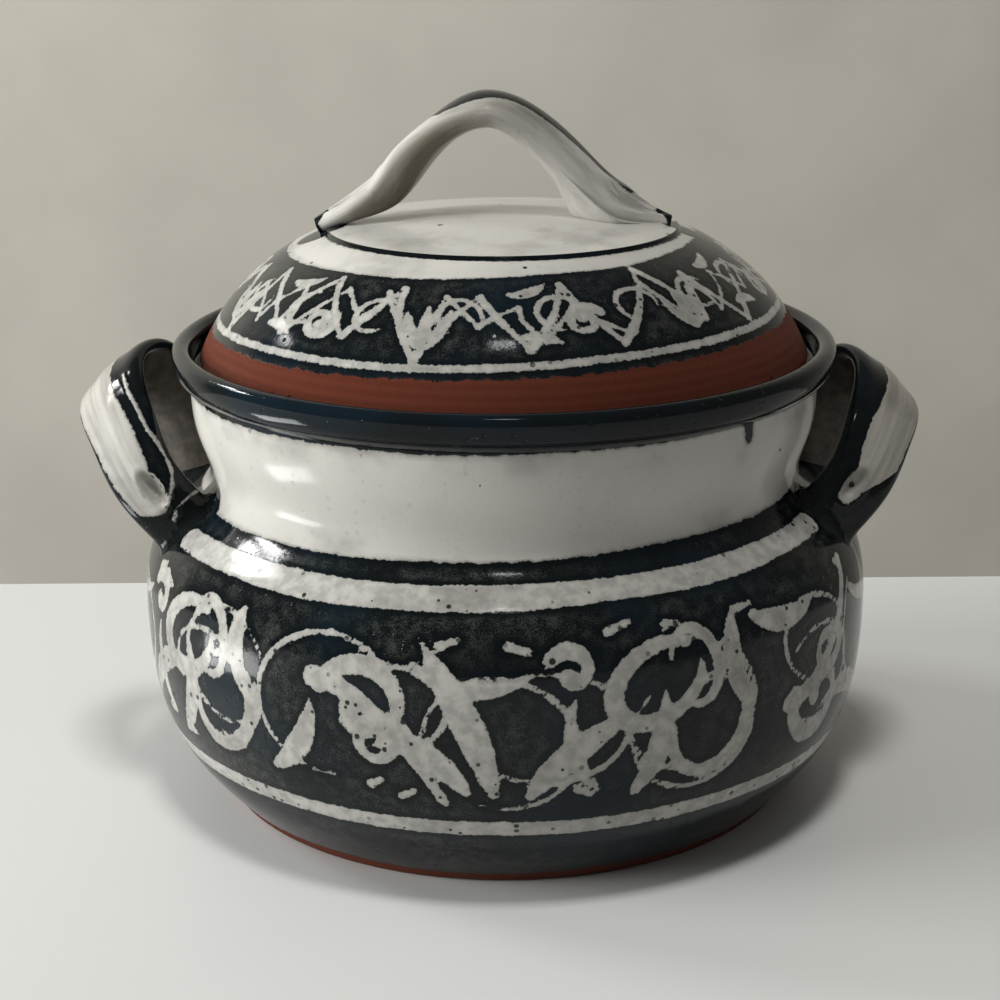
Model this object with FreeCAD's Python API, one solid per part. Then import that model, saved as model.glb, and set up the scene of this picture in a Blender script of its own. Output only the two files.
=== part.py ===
import FreeCAD, Part
import math
import os

# Wheel-thrown clay cookie jar with a lift-off lid and three pulled strap handles.
# Millimetres. The table is z = 0, +Z is up, the side handles stand along X and the front is -Y.

os.makedirs("parts", exist_ok=True)

# Jar body, outer wall
foot_radius = 99.0
foot_bevel = 2.5
lower_wall_radius = 115.6
lower_wall_height = 24.0
belly_radius = 123.0
belly_height = 61.0
shoulder_radius = 113.4
shoulder_height = 95.6
neck_radius = 99.8
neck_height = 109.0
neck_flare_radius = 103.2
neck_flare_height = 124.5
collar_radius = 104.8
collar_height = 141.0

# Jar body, rim and the ledge that carries the lid
rim_radius = 110.6
rim_width = 6.6
rim_swell_drop = 4.6
jar_height = 153.6
gallery_depth = 8.6
ledge_width = 11.6
ledge_round = 1.6

# Jar body, inside and underneath
jar_wall = 6.5
floor_thickness = 8.0
floor_corner = 15.0
foot_ring_width = 13.0
foot_recess_depth = 2.0

# Lid
lid_gap = 2.8
lid_seat_gap = 0.2
lid_edge_round = 3.6
lid_seat_width = 7.0
lid_wall = 6.2
lid_haunch_inset = 15.2
lid_haunch_rise = 26.6
lid_crown_radius = 58.5
lid_crown_rise = 44.6
lid_step = 1.1
lid_crown_doming = 4.0

# Side handles: a pulled strap, bent to an ear that stands out from the shoulder
ear_width = 29.0
ear_root_width = 22.0
ear_thickness = 9.0
ear_root_thickness = 10.0
ear_groove_depth = 0.7
ear_lean = 42.0
ear_root_twist = 11.0
ear_root_height = 100.5
ear_root_standoff = 5.2
ear_burial = 12.0
ear_apex_shift = 2.5

# Each ear's front root, back root, reach and rise, because the two are pulled by hand
left_front_half_span = 35.0
left_back_half_span = 29.5
left_ear_reach = 24.3
left_ear_rise = 38.0
right_front_half_span = 32.0
right_back_half_span = 28.0
right_ear_reach = 20.7
right_ear_rise = 34.5

# Where the ear bends between a root and its apex: shares of the half span, the reach and the rise
ear_front_bends = [(0.957, 0.42, 0.31), (0.69, 0.76, 0.68)]
ear_back_bends = [(0.966, 0.22, 0.44), (0.75, 0.61, 0.92)]

# Lid handle: a pulled strap, bent to an arch across the crown
arch_left_reach = 61.0
arch_right_reach = 55.0
arch_height = 38.0
arch_peak_shift = 4.8
arch_knee_reach = 25.2
arch_width = 20.0
arch_thickness = 10.6
arch_lean = 20.0
arch_tongue_width = 18.0
arch_tongue_thickness = 8.0
arch_tip_width = 9.0
arch_tip_thickness = 5.0

# Where the arch bends between a tip and its peak: shares of the knee reach and the height
arch_left_bends = [(1.56, 0.25), (1.0, 0.58)]
arch_right_bends = [(1.68, 0.19), (1.0, 0.58)]

# Finger marks: a dent at each ear root, a swiped hollow on each foot of the arch
dent_length = 17.4
dent_width = 9.0
dent_depth = 1.5
swipe_length = 26.0
swipe_width = 9.0
swipe_depth = 1.4

# The slip joint between a strap and the wall it is stuck to
luting_gap = 0.05

# A strap's section: how many points carry it and how square its edges are
section_points = 10
section_squareness = 0.86

UP = FreeCAD.Vector(0, 0, 1)
ALONG_Y = FreeCAD.Vector(0, 1, 0)
ORIGIN = FreeCAD.Vector(0, 0, 0)


def point(radius, height):
    """A point of a turned profile, in the XZ plane."""
    return FreeCAD.Vector(radius, 0, height)


def line(start, end):
    return Part.LineSegment(start, end).toShape()


def arc(start, middle, end):
    return Part.Arc(start, middle, end).toShape()


def on_circle(centre, radius, degrees):
    """A point on a circle of the profile plane."""
    angle = math.radians(degrees)
    return centre + FreeCAD.Vector(radius * math.cos(angle), 0, radius * math.sin(angle))


def smooth_curve(points, tangents):
    """A curve through the points, with a fixed direction where a tangent is given."""
    flags = [tangent is not None for tangent in tangents]
    vectors = [tangent if tangent is not None else ORIGIN for tangent in tangents]
    curve = Part.BSplineCurve()
    curve.interpolate(Points=points, Tangents=vectors, TangentFlags=flags)
    return curve


def parameter_at_height(curve, height):
    """Where the rising curve passes the height."""
    low = curve.FirstParameter
    high = curve.LastParameter
    for _ in range(50):
        middle = (low + high) / 2
        if curve.value(middle).z < height:
            low = middle
        else:
            high = middle
    return (low + high) / 2


def inside_point(curve, height, wall):
    """The point one wall thickness inside the curve, square to it."""
    parameter = parameter_at_height(curve, height)
    tangent = curve.tangent(parameter)[0]
    normal = FreeCAD.Vector(tangent.z, 0, -tangent.x)
    return curve.value(parameter) - normal * wall


def solid_of(shape):
    """The shape as a solid whose faces point outwards."""
    solid = shape if shape.ShapeType == "Solid" else Part.Solid(shape)
    if solid.Volume < 0:
        solid.reverse()
    return solid


def turned(edges):
    """The solid that a closed profile leaves when it turns about Z."""
    face = Part.Face(Part.Wire(Part.sortEdges(edges)[0]))
    return solid_of(face.revolve(ORIGIN, UP, 360))


def biggest(shape):
    """The largest solid of a cut shape."""
    return max(shape.Solids, key=lambda solid: solid.Volume)


def jar_wall_curve(grow):
    """The outer wall from the foot to the underside of the rim."""
    points = [
        point(foot_radius + grow, foot_bevel),
        point(lower_wall_radius + grow, lower_wall_height),
        point(belly_radius + grow, belly_height),
        point(shoulder_radius + grow, shoulder_height),
        point(neck_radius + grow, neck_height),
        point(neck_flare_radius + grow, neck_flare_height),
        point(collar_radius + grow, collar_height),
    ]
    return smooth_curve(points, [None, None, UP, None, None, None, None])


def gallery_radius():
    """The inner wall of the rim, round the lid."""
    return rim_radius - rim_width


def ledge_height():
    return jar_height - gallery_depth


def rim_edges(collar):
    """The rolled rim, from the collar over the top to its inner edge."""
    roll = rim_width / 2
    widest = point(rim_radius, jar_height - rim_swell_drop)
    outer = point(rim_radius, jar_height - roll)
    inner = point(gallery_radius(), jar_height - roll)
    roll_centre = point(rim_radius - roll, jar_height - roll)
    swell = smooth_curve([collar, widest], [FreeCAD.Vector(1.0, 0, 0.6), UP])
    return [
        swell.toShape(),
        line(widest, outer),
        arc(outer, on_circle(roll_centre, roll, 90), inner),
    ]


def ledge_edges():
    """The wall behind the rim and the ledge under the lid, down to the throat."""
    throat_radius = gallery_radius() - ledge_width
    rim_inner = point(gallery_radius(), jar_height - rim_width / 2)
    corner = point(gallery_radius(), ledge_height())
    ledge_end = point(throat_radius + ledge_round, ledge_height())
    round_centre = ledge_end - UP * ledge_round
    throat = point(throat_radius, ledge_height() - ledge_round)
    edges = [
        line(rim_inner, corner),
        line(corner, ledge_end),
        arc(ledge_end, on_circle(round_centre, ledge_round, 135), throat),
    ]
    return edges, throat


def inside_curve(wall, throat):
    """The inner wall, one wall thickness inside the outer one, down to the flat floor."""
    points = [throat]
    for height in (neck_height, shoulder_height, belly_height, lower_wall_height):
        points.append(inside_point(wall, height, jar_wall))
    points.append(point(foot_radius - floor_corner, floor_thickness))
    tangents = [UP * -1] + [None] * 4 + [FreeCAD.Vector(-1, 0, 0)]
    return smooth_curve(points, tangents)


def foot_edges():
    """The turned foot: a ring to stand on round a shallow recess, and the bevel outside it."""
    ring_outer = foot_radius - foot_bevel
    ring_inner = ring_outer - foot_ring_width
    recess = ring_inner - foot_recess_depth
    return [
        line(point(0, foot_recess_depth), point(recess, foot_recess_depth)),
        line(point(recess, foot_recess_depth), point(ring_inner, 0)),
        line(point(ring_inner, 0), point(ring_outer, 0)),
        line(point(ring_outer, 0), point(foot_radius, foot_bevel)),
    ]


def make_jar_body():
    """Foot, belly, shoulder, neck, rim and lid ledge, turned in one piece."""
    wall = jar_wall_curve(0)
    ledge, throat = ledge_edges()
    inside = inside_curve(wall, throat)
    edges = foot_edges()
    edges.append(wall.toShape())
    edges += rim_edges(wall.EndPoint)
    edges += ledge
    edges += [
        inside.toShape(),
        line(inside.EndPoint, point(0, floor_thickness)),
        line(point(0, floor_thickness), point(0, foot_recess_depth)),
    ]
    return turned(edges)


def make_jar_block():
    """The jar's outer form without its hollow, one slip joint larger: it trims the ears."""
    wall = jar_wall_curve(luting_gap)
    edges = [
        line(ORIGIN, point(wall.StartPoint.x, 0)),
        line(point(wall.StartPoint.x, 0), wall.StartPoint),
        wall.toShape(),
        line(wall.EndPoint, point(0, collar_height)),
        line(point(0, collar_height), ORIGIN),
    ]
    return turned(edges)


def lid_edge_radius():
    return gallery_radius() - lid_gap


def lid_seat_height():
    return ledge_height() + lid_seat_gap


def crown_height():
    """The height of the crown's edge, where the arch's feet lie."""
    return lid_seat_height() + lid_crown_rise


def lid_dome_curve(grow):
    """The lid's upper side from its edge to the step round the crown."""
    start = point(lid_edge_radius() + grow, lid_seat_height() + lid_edge_round)
    haunch = point(lid_edge_radius() - lid_haunch_inset + grow, lid_seat_height() + lid_haunch_rise)
    end = point(lid_crown_radius + grow, crown_height() - lid_step + grow)
    return Part.Arc(start, haunch, end)


def crown_edges(dome, grow):
    """The small step and the nearly flat crown inside it."""
    step_top = point(lid_crown_radius - lid_step / 2 + grow, crown_height() + grow)
    centre = point(0, crown_height() + lid_crown_doming + grow)
    slope = FreeCAD.Vector(-step_top.x, 0, 2 * lid_crown_doming)
    crown = smooth_curve([step_top, centre], [slope, FreeCAD.Vector(-1, 0, 0)])
    return [line(dome.EndPoint, step_top), crown.toShape()], centre


def make_lid():
    """Domed lid, hollow underneath, with a flat seat ring at its edge."""
    seat = lid_seat_height()
    dome = lid_dome_curve(0)
    crown, centre = crown_edges(dome, 0)
    round_centre = point(lid_edge_radius() - lid_edge_round, seat + lid_edge_round)
    seat_outer = point(round_centre.x, seat)
    seat_inner = point(round_centre.x - lid_seat_width, seat)
    under_centre = centre - UP * lid_wall
    under_haunch = inside_point(dome, seat + lid_haunch_rise, lid_wall)
    under_crown = inside_point(dome, dome.EndPoint.z, lid_wall)
    crown_fall = FreeCAD.Vector(1, 0, (under_crown.z - under_centre.z) / under_crown.x)
    ceiling = smooth_curve([under_centre, under_crown], [FreeCAD.Vector(1, 0, 0), crown_fall])
    edges = [
        line(seat_inner, seat_outer),
        arc(seat_outer, on_circle(round_centre, lid_edge_round, -45), dome.StartPoint),
        dome.toShape(),
    ]
    edges += crown
    edges += [
        line(centre, under_centre),
        ceiling.toShape(),
        arc(under_crown, under_haunch, seat_inner),
    ]
    return turned(edges)


def make_lid_block():
    """The lid's upper form without its hollow, one slip joint larger: it trims the arch."""
    dome = lid_dome_curve(luting_gap)
    crown, centre = crown_edges(dome, luting_gap)
    base = point(0, lid_seat_height())
    rim = point(dome.StartPoint.x, base.z)
    edges = [line(base, rim), line(rim, dome.StartPoint), dome.toShape()]
    edges += crown
    edges.append(line(centre, base))
    return turned(edges)


def strap_section(centre, across, outward, width, thickness, groove):
    """A closed oval across a strap, with a shallow groove along each half of its outer face."""
    points = []
    for step in range(section_points):
        angle = 2 * math.pi * step / section_points
        side = math.copysign(abs(math.cos(angle)) ** section_squareness, math.cos(angle))
        face = math.copysign(abs(math.sin(angle)) ** section_squareness, math.sin(angle))
        depth = thickness / 2 * face
        if face > 0:
            depth -= groove * face * math.sin(math.pi * side) ** 2
        points.append(centre + across * (side * width / 2) + outward * depth)
    curve = Part.BSplineCurve()
    curve.interpolate(Points=points, PeriodicFlag=True)
    return Part.Wire([curve.toShape()])


def finger_mark(centre, along, facing, length, width, depth):
    """A long round body, sunk so far into the face that its mark there has the length and width."""
    half_width = (width ** 2 / 4 + depth ** 2) / (2 * depth)
    half_length = half_width * length / width
    ellipse = Part.Ellipse(UP * half_length, FreeCAD.Vector(half_width, 0, 0), ORIGIN)
    half = Part.ArcOfEllipse(ellipse, -math.pi, 0).toShape()
    if half.valueAt((half.FirstParameter + half.LastParameter) / 2).x < 0:
        half = Part.ArcOfEllipse(ellipse, 0, math.pi).toShape()
    axis = line(half.Vertexes[-1].Point, half.Vertexes[0].Point)
    body = turned([half, axis])
    turn = FreeCAD.Rotation(UP, along)
    body.Placement = FreeCAD.Placement(centre + facing * (half_width - depth), turn)
    return body


def ear_path(front_half_span, back_half_span, reach, rise):
    """The left ear's centre line, from its front root over the apex to its back root."""
    wall = jar_wall_curve(0)
    root_radius = wall.value(parameter_at_height(wall, ear_root_height)).x + ear_root_standoff

    def root(y):
        return FreeCAD.Vector(-math.sqrt(root_radius ** 2 - y ** 2), y, ear_root_height)

    def bent(foot, bend):
        along, out, up = bend
        return FreeCAD.Vector(foot.x - reach * out, foot.y * along, foot.z + rise * up)

    front = root(-front_half_span)
    back = root(back_half_span)
    apex = FreeCAD.Vector((front.x + back.x) / 2 - reach, ear_apex_shift, ear_root_height + rise)
    points = [front] + [bent(front, bend) for bend in ear_front_bends] + [apex]
    points += [bent(back, bend) for bend in reversed(ear_back_bends)] + [back]
    return points


def ear_axes(point_on_path, direction, half_span, rise):
    """The strap's width axis and outward axis at a point of the ear."""
    lean = math.radians(ear_lean)
    twist = math.tan(math.radians(ear_root_twist)) * -point_on_path.y / half_span
    across = FreeCAD.Vector(math.cos(lean), twist, math.sin(lean))
    across = across - direction * across.dot(direction)
    across.normalize()
    outward = across.cross(direction)
    middle = FreeCAD.Vector(point_on_path.x / 2, 0, ear_root_height + rise / 4)
    if outward.dot(point_on_path - middle) < 0:
        outward = outward * -1
    return across, outward


def buried_section(root, way):
    """A root's section, moved along the strap into the wall."""
    station, direction, across, outward = root
    buried = station + direction * way
    return strap_section(buried, across, outward, ear_root_width, ear_root_thickness, 0.0)


def make_ear(jar_block, front_half_span, back_half_span, reach, rise):
    """A strap bent to the left ear, stuck on at two roots, with a finger dent at each."""
    points = ear_path(front_half_span, back_half_span, reach, rise)
    path = smooth_curve(points, [None] * len(points))
    stations = []
    for station in points:
        direction = path.tangent(path.parameter(station))[0]
        across, outward = ear_axes(station, direction, front_half_span, rise)
        stations.append((station, direction, across, outward))
    wires = []
    for station, direction, across, outward in stations:
        share = (station.z - ear_root_height) / rise
        width = ear_root_width + (ear_width - ear_root_width) * share ** 3
        thickness = ear_root_thickness + (ear_thickness - ear_root_thickness) * share
        wires.append(strap_section(station, across, outward, width, thickness, ear_groove_depth * share))
    wires.insert(0, buried_section(stations[0], -ear_burial))
    wires.append(buried_section(stations[-1], ear_burial))
    ear = Part.makeLoft(wires, True, False)
    ear = ear.cut(jar_block)
    for index in (1, -2):
        station, direction, across, outward = stations[index]
        face = station + outward * (ear_root_thickness / 2)
        ear = ear.cut(finger_mark(face, direction, outward, dent_length, dent_width, dent_depth))
    return biggest(ear)


def arch_path():
    """The arch's centre line, from the left tip over the peak to the right tip."""
    crown = crown_height()
    peak = FreeCAD.Vector(-arch_peak_shift, 0, crown + arch_height)
    points = [FreeCAD.Vector(-arch_left_reach, 0, crown)]
    for out, up in arch_left_bends:
        points.append(FreeCAD.Vector(peak.x - arch_knee_reach * out, 0, crown + arch_height * up))
    points.append(peak)
    for out, up in reversed(arch_right_bends):
        points.append(FreeCAD.Vector(peak.x + arch_knee_reach * out, 0, crown + arch_height * up))
    points.append(FreeCAD.Vector(arch_right_reach, 0, crown))
    return points


def make_lid_handle(lid_block):
    """A strap bent to the arch, thinned to a tongue at each foot, with a swiped hollow there."""
    points = arch_path()
    tangents = [None] * len(points)
    tangents[len(points) // 2] = FreeCAD.Vector(1, 0, 0)
    path = smooth_curve(points, tangents)
    foot = [
        (arch_tip_width, arch_tip_thickness, 0.0),
        (arch_tongue_width, arch_tongue_thickness, 0.25),
        (arch_width, arch_thickness, 0.9),
    ]
    sections = foot + [(arch_width, arch_thickness, 1.0)] + foot[::-1]
    wires = []
    stations = []
    for station, (width, thickness, leaning) in zip(points, sections):
        direction = path.tangent(path.parameter(station))[0]
        radial = direction.cross(ALONG_Y)
        if radial.z < 0:
            radial = radial * -1
        angle = math.radians(arch_lean) * leaning
        across = ALONG_Y * math.cos(angle) + radial * math.sin(angle)
        outward = radial * math.cos(angle) - ALONG_Y * math.sin(angle)
        wires.append(strap_section(station, across, outward, width, thickness, 0.0))
        stations.append((station, direction, outward))
    arch = Part.makeLoft(wires, True, False)
    arch = arch.cut(lid_block)
    for index in (1, -2):
        station, direction, outward = stations[index]
        face = station + outward * (arch_tongue_thickness / 2)
        arch = arch.cut(finger_mark(face, direction, outward, swipe_length, swipe_width, swipe_depth))
    return biggest(arch)


def mirrored(shape):
    """The mirror image across the YZ plane."""
    return shape.mirror(ORIGIN, FreeCAD.Vector(1, 0, 0))


def main():
    jar_block = make_jar_block()
    left_sizes = (left_front_half_span, left_back_half_span, left_ear_reach, left_ear_rise)
    right_sizes = (right_front_half_span, right_back_half_span, right_ear_reach, right_ear_rise)
    pieces = {
        "jar_body": make_jar_body(),
        "left_handle": make_ear(jar_block, *left_sizes),
        "right_handle": mirrored(make_ear(jar_block, *right_sizes)),
        "lid": make_lid(),
        "lid_handle": make_lid_handle(make_lid_block()),
    }
    for node, shape in pieces.items():
        shape.exportStep("parts/" + node + ".step")
        print(node, shape.ShapeType, "valid" if shape.isValid() else "broken", round(shape.Volume), "mm3")


main()
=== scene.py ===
import math
import random
from bisect import bisect_right
from functools import lru_cache

import bmesh
import bpy
from bpy.props import FloatProperty, FloatVectorProperty, IntProperty, PointerProperty
from mathutils import Matrix, Vector, noise


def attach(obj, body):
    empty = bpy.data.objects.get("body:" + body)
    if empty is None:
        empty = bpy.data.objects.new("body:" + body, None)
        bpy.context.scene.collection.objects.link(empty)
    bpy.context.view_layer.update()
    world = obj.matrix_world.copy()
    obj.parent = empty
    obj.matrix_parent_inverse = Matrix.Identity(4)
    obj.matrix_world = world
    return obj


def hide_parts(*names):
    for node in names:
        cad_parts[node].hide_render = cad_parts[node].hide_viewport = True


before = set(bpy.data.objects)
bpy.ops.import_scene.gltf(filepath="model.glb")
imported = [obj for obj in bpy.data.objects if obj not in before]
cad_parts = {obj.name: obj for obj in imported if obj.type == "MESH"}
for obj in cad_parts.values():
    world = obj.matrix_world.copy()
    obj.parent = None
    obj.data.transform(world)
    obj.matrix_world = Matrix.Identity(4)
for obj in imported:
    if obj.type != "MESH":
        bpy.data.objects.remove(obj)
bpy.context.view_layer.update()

bl_info = {
    "name": "Glazed cookie jar",
    "version": (1, 0, 0),
    "blender": (4, 5, 0),
    "location": "View3D > Sidebar > Cookie Jar",
    "description": "Throws, pulls and glazes the looks of a lidded cookie jar round its packed frame",
    "category": "Object",
}

# Every table and distance below is in millimetres, and MM turns one into Blender's metres.
MM = 0.001

# Distances that are well outside and well inside the paint.
OUTSIDE = -4.0
INSIDE = 4.0

# The jar's outer wall as (radius, height), from the foot to the underside of the rim.
JAR_WALL = [
    (99.0, 2.5), (115.6, 24.0), (122.9, 61.0), (113.4, 95.6),
    (99.8, 109.0), (103.2, 124.5), (104.8, 141.0),
]
# The jar's inner wall, from the throat under the ledge down to the floor.
JAR_INSIDE = [(92.4, 143.4), (93.6, 110.0), (109.0, 91.0), (116.5, 61.0), (109.3, 26.0), (84.0, 8.0)]
FOOT_TOP = JAR_WALL[0][1]
COLLAR = JAR_WALL[-1][1]
RIM_RADIUS = 110.6
RIM_WIDTH = 6.6
JAR_HEIGHT = 153.6
LEDGE_HEIGHT = 145.0
THROAT_RADIUS = 92.4

# How far the rim's far side rises, and the height from which it does.
RIM_RISE = 2.6
RIM_RISE_FROM = 125.0

# Heights of the jar's painted bands, and the degrees that the shoulder's band turns to each side.
FOOT_LINE = 28.0
FOOT_LINE_HALF = 3.0
BELLY_PAINT = (31.5, 95.0)
SHOULDER_BAND = (95.8, 101.1)
SHOULDER_TURN = 67.5
NECK_BAND = (106.5, 140.6)
BARE_FOOT = 4.4

# The black left bare of white round an ear's root, and the drip from the rim as (height, radius).
ROOT_CLEAR = 17.0
DRIP_SIDE = 73.5
DRIP = ((142.0, 2.8), (138.6, 2.2), (136.6, 1.8))

# The radius at which each painted zone is unrolled.
BELLY_ROLL = 120.0
SHOULDER_ROLL = 108.0
LID_ROLL = 79.0

# The lid's upper side as (radius, height) from its edge to the step, then the crown and the seat.
LID_EDGE = (101.2, 148.8)
LID_HAUNCH = (86.0, 171.8)
LID_STEP = (58.5, 188.7)
CROWN_EDGE = (57.95, 189.8)
CROWN_TOP = 193.8
CROWN_DOMING = 4.0
LID_SEAT = 145.2
LID_EDGE_ROUND = 3.6
LID_SEAT_WIDTH = 7.0
LID_PAINT = (165.6, 184.6)
LID_RING = 163.75
LID_TOP_BAND = 185.1
LID_BARE = 160.5
# Black blots under the ends of the lid's strap, as (x, y, radius).
BLOTS = ((-59.5, -4.5, 8.0), (59.5, -4.5, 7.0))

# Centre lines of the two ears, their painted shade, their finger dents, their white faces, and their
# raised ridges, which are painted white as a painted highlight.
LEFT_EAR = {
    "front": 35.0, "back": 29.5, "reach": 23.75, "rise": 38.0, "smoke": (0.0, 0.45),
    "dent": 0.9, "dent_shift": 3.2, "tip": 4.0, "wedge": 0.055, "power": 2.0,
    "highlight_ridges": [
        [
            (-126.3, -12.3, 143.0), (-124.1, -18.5, 139.5), (-120.0, -25.3, 134.8), (-116.4, -30.1, 129.6),
            (-112.9, -32.0, 125.4), (-110.0, -33.7, 120.6), (-108.0, -35.4, 116.5), (-107.8, -37.4, 112.4),
            (-108.5, -39.2, 108.5), (-109.8, -40.2, 105.5), (-111.8, -40.4, 103.8), (-114.1, -40.5, 103.6),
        ],
        [
            (-107.5, -40.2, 100.7), (-106.4, -39.8, 104.3), (-104.1, -38.7, 107.0), (-102.0, -37.2, 108.5),
            (-100.4, -34.7, 109.1),
        ],
    ],
}
RIGHT_EAR = {
    "front": 32.0, "back": 28.0, "reach": 20.15, "rise": 34.5, "smoke": (0.5, 0.5),
    "dent": 0.3, "dent_shift": 3.6, "tip": 4.6, "wedge": 1.5, "power": 1.0,
    "highlight_ridges": [],
}
# Where an ear bends between a root and its apex: shares of the half span, the reach and the rise.
EAR_FRONT_BENDS = [(0.957, 0.42, 0.31), (0.69, 0.76, 0.68)]
EAR_BACK_BENDS = [(0.966, 0.22, 0.44), (0.75, 0.61, 0.92)]
EAR_ROOT_HEIGHT = 100.5
EAR_ROOT_RADIUS = 112.5
EAR_ROOT_THICKNESS = 10.0
EAR_APEX_SHIFT = 2.5
EAR_LEAN = 42.0
EAR_TWIST = 11.0
# A finger dent's half length, half width and distance off the centre line.
DENT_HALF = (6.6, 3.3)
DENT_OUT = 5.0
# Half the width of a raised ridge, which is painted white as a painted highlight.
LINE_HALF = 0.6

# The arch over the lid as (x, height), with its width, thickness and lean at each point.
ARCH_PATH = [
    (-61.0, 189.8), (-44.1, 199.3), (-30.0, 211.8), (-4.8, 227.8),
    (20.4, 211.8), (37.5, 197.0), (55.0, 189.8),
]
ARCH_SECTIONS = [
    (9, 5, 0.4), (17, 8, 0.1), (19, 10.6, -0.9), (20, 10.6, 0.6),
    (20, 10.6, 1.2), (21, 8, 1.2), (9, 5, 0.6),
]
ARCH_LEAN = 20.0
# The heels of the arch as (x, drop), and its swiped feet as (share of the length, depth, side).
ARCH_HEELS = ((-39.0, 3.5), (33.0, 8.5))
ARCH_SWIPES = ((0.115, 2.4, 0.05), (0.895, 1.4, -0.1))

# How square a strap's section is, and the radius at which its streaks are unrolled.
STRAP_SQUARENESS = 0.86
EAR_ROLL = 11.0
ARCH_ROLL = 8.0

# The camera's place in metres, its pitch and roll in degrees, and its lens in millimetres.
CAMERA_PLACE = (-0.0016, -0.674, 0.304)
CAMERA_PITCH = 17.27
CAMERA_ROLL = 0.45
CAMERA_LENS = 73.8


# Settings that a user would change


def length(name, text, default):
    limits = {"min": 0.0, "max": 0.1, "unit": "LENGTH", "precision": 4}
    return FloatProperty(name=name, description=text, default=default, **limits)


def colour(name, text, default):
    limits = {"min": 0.0, "max": 1.0, "subtype": "COLOR", "size": 3}
    return FloatVectorProperty(name=name, description=text, default=default, **limits)


def power(name, text, default):
    return FloatProperty(name=name, description=text, default=default, min=0.0, unit="POWER")


def share_of_one(name, text, default):
    return FloatProperty(name=name, description=text, default=default, min=0.0, max=1.0, subtype="FACTOR")


def number(name, text, default, low, high):
    return IntProperty(name=name, description=text, default=default, min=low, max=high)


class GlazeSettings(bpy.types.PropertyGroup):
    white: colour("White glaze", "Colour of the tin-white glaze and the strokes", (0.535, 0.52, 0.485))
    black: colour("Black glaze", "Colour of the black glaze where it lies thick", (0.0035, 0.0052, 0.006))
    haze: colour("Haze", "Colour of white glaze where it is thin over the black", (0.30, 0.30, 0.28))
    speck: colour("Speckle", "Colour of the grey specks in thin black glaze", (0.046, 0.050, 0.046))
    clay: colour("Bare clay", "Colour of the unglazed red clay", (0.070, 0.0185, 0.0105))
    liner: colour("Liner", "Colour of the thin glaze on the straps' inner faces", (0.065, 0.055, 0.044))
    # Painted shade: the brown that a strap's white is darkened to where the strap should look shaded.
    smoke: colour("Painted shade", "Colour of the white glaze where it is thin on a strap", (0.165, 0.150, 0.118))
    ragged: length("Ragged edge", "How far the edge of a painted stroke wanders", 0.0007)
    gloss: share_of_one("Roughness", "Roughness of the fired glaze", 0.07)


class PaintSettings(bpy.types.PropertyGroup):
    stem_width: length("Stem width", "Width of the broad strokes on the belly", 0.0056)
    thin_width: length("Thin width", "Width of the thin lines on the belly", 0.0019)
    clumps: number("Clumps", "Scrolls, fans and nests of loops round the belly", 14, 3, 24)
    lid_sprigs: number("Lid sprigs", "Zigzags round the lid", 19, 6, 40)
    lid_line: length("Lid line", "Width of the lines painted on the lid", 0.0024)
    seed: number("Seed", "Seed of the brush's unsteadiness", 11, 0, 9999)


class StrapSettings(bpy.types.PropertyGroup):
    ear_width: length("Ear width", "Width of a side strap at its apex", 0.029)
    ear_root_width: length("Ear root width", "Width of a side strap at its roots", 0.022)
    ear_thickness: length("Ear thickness", "Thickness of a side strap", 0.009)
    groove: length("Groove", "Depth of the finger groove along a strap", 0.0007)
    fillet: length("Root fillet", "Reach of the clay smoothed onto the wall round a root", 0.005)
    dent: length("Dent", "Depth of the finger dent at a root", 0.0015)


class StageSettings(bpy.types.PropertyGroup):
    floor: colour("Floor", "Colour of the table top", (0.65, 0.655, 0.645))
    backdrop: colour("Backdrop", "Colour behind the table", (0.535, 0.51, 0.45))
    window: power("Window", "Power of the window light", 20.0)
    pane: power("Pane", "Power of the narrow lights that shine in the shoulder", 0.0045)
    glow: power("Glow", "Power of the low light that shines in the neck", 0.09)
    side: power("Side", "Power of the broad light from the left", 114.0)
    lamp: power("Lamp", "Power of the small overhead lamp", 36.0)
    spot: power("Spot", "Power of the small bright spot in front", 0.8)
    ambient: share_of_one("Ambient", "Brightness of the room", 0.13)


# Curves


def clamped(value):
    return min(max(value, 0.0), 1.0)


def bell(offset, width):
    """A smooth bump of height 1 at no offset."""
    return math.exp(-(offset / width) ** 2)


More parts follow.
